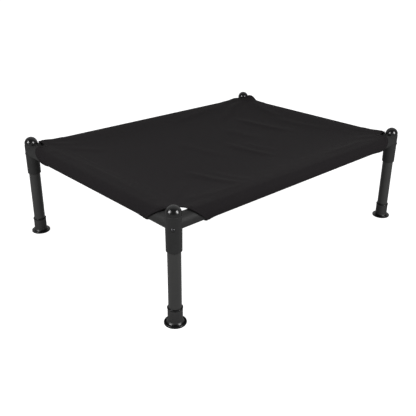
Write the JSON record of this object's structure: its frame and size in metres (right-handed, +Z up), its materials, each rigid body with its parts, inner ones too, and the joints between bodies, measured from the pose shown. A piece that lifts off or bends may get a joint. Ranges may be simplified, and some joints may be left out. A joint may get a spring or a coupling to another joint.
{
  "type": "dog bed with frame",
  "caption": "Raised dog bed: a cloth cover with sewn tube sleeves stretched on a knock-down tube frame with moulded corners, ball caps and flared rubber feet.",
  "frame": {"origin": "on the floor at the middle of the bed, between the four feet", "axes": "+X along the long rails, +Y along the short rails towards the back, +Z up"},
  "size_m": [0.6482, 0.4842, 0.2077],
  "materials": {
    "cover_cloth": "black woven polyester, matte",
    "hem_cloth": "doubled and stitched cloth edge, matte",
    "tube_coat": "black powder coat, satin",
    "connector_plastic": "moulded black plastic, satin",
    "cap_plastic": "moulded black plastic, glossy",
    "foot_rubber": "moulded black rubber",
    "button_coat": "black coated steel, semi-gloss",
    "spring_steel": "spring steel"
  },
  "bodies": {
    "frame": {"cover_panel": "cover_cloth", "corner_connector_front_left": "connector_plastic", "ball_cap_front_left": "cap_plastic", "leg_tube_front_left": "tube_coat", "foot_front_left": "foot_rubber", "button_spring_front_left": "spring_steel", "corner_hem_front_left": "hem_cloth", "corner_connector_front_right": "connector_plastic", "ball_cap_front_right": "cap_plastic", "leg_tube_front_right": "tube_coat", "foot_front_right": "foot_rubber", "button_spring_front_right": "spring_steel", "corner_hem_front_right": "hem_cloth", "corner_connector_back_right": "connector_plastic", "ball_cap_back_right": "cap_plastic", "leg_tube_back_right": "tube_coat", "foot_back_right": "foot_rubber", "button_spring_back_right": "spring_steel", "corner_hem_back_right": "hem_cloth", "corner_connector_back_left": "connector_plastic", "ball_cap_back_left": "cap_plastic", "leg_tube_back_left": "tube_coat", "foot_back_left": "foot_rubber", "button_spring_back_left": "spring_steel", "corner_hem_back_left": "hem_cloth", "long_rail_front": "tube_coat", "sleeve_front": "cover_cloth", "long_rail_back": "tube_coat", "sleeve_back": "cover_cloth", "short_rail_left": "tube_coat", "sleeve_left": "cover_cloth", "short_rail_right": "tube_coat", "sleeve_right": "cover_cloth"},
    "button_front_left": {"snap_button_front_left": "button_coat"},
    "button_front_right": {"snap_button_front_right": "button_coat"},
    "button_back_right": {"snap_button_back_right": "button_coat"},
    "button_back_left": {"snap_button_back_left": "button_coat"}
  },
  "joints": [
    {"name": "button_front_left_press", "type": "slide", "parent": "frame", "child": "button_front_left", "axis": [0.7071, 0.7071, 0], "range_m": [0, 0.0036], "stiffness_N_per_m": 400, "springref_m": -0.006, "deforming": ["button_spring_front_left"]},
    {"name": "button_front_right_press", "type": "slide", "parent": "frame", "child": "button_front_right", "axis": [-0.7071, 0.7071, 0], "range_m": [0, 0.0036], "stiffness_N_per_m": 400, "springref_m": -0.006, "deforming": ["button_spring_front_right"]},
    {"name": "button_back_right_press", "type": "slide", "parent": "frame", "child": "button_back_right", "axis": [-0.7071, -0.7071, 0], "range_m": [0, 0.0036], "stiffness_N_per_m": 400, "springref_m": -0.006, "deforming": ["button_spring_back_right"]},
    {"name": "button_back_left_press", "type": "slide", "parent": "frame", "child": "button_back_left", "axis": [0.7071, -0.7071, 0], "range_m": [0, 0.0036], "stiffness_N_per_m": 400, "springref_m": -0.006, "deforming": ["button_spring_back_left"]}
  ]
}
